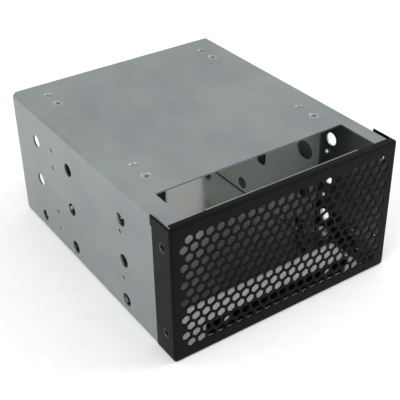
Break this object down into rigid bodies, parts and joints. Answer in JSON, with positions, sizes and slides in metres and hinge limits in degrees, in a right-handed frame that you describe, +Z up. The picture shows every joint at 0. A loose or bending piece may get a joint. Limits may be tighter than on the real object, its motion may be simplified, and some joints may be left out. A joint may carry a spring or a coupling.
{
  "type": "drive cage",
  "caption": "Sheet-metal cage that holds 3.5-inch drives in 5.25-inch bays, with a perforated black front and a fan chamber behind it.",
  "frame": {"origin": "middle of the underside of the overall box", "axes": "+Z up, +X to the right, +Y from the bezel to the drives' connectors; the bezel faces -Y"},
  "size_m": [0.1482, 0.18, 0.0846],
  "materials": {
    "galvanised_sheet": "satin zinc-plated steel sheet",
    "galvanised_bracket": "satin zinc-plated steel sheet, slightly darker",
    "black_paint": "fine-textured satin black powder coat",
    "rivet_steel": "black-finished tubular steel rivet",
    "screw_zinc": "zinc-plated countersunk screw"
  },
  "bodies": {
    "root": {"outer_cover": "galvanised_sheet", "floor_pan": "galvanised_sheet", "left_drive_bracket": "galvanised_bracket", "right_drive_bracket": "galvanised_bracket", "front_bezel": "black_paint", "bezel_rivets_left": "rivet_steel", "bezel_rivets_right": "rivet_steel", "side_rivets_left": "galvanised_sheet", "side_rivets_right": "galvanised_sheet", "top_screws_left": "screw_zinc", "top_screws_right": "screw_zinc", "floor_screws_left": "screw_zinc", "floor_screws_right": "screw_zinc"}
  },
  "joints": []
}
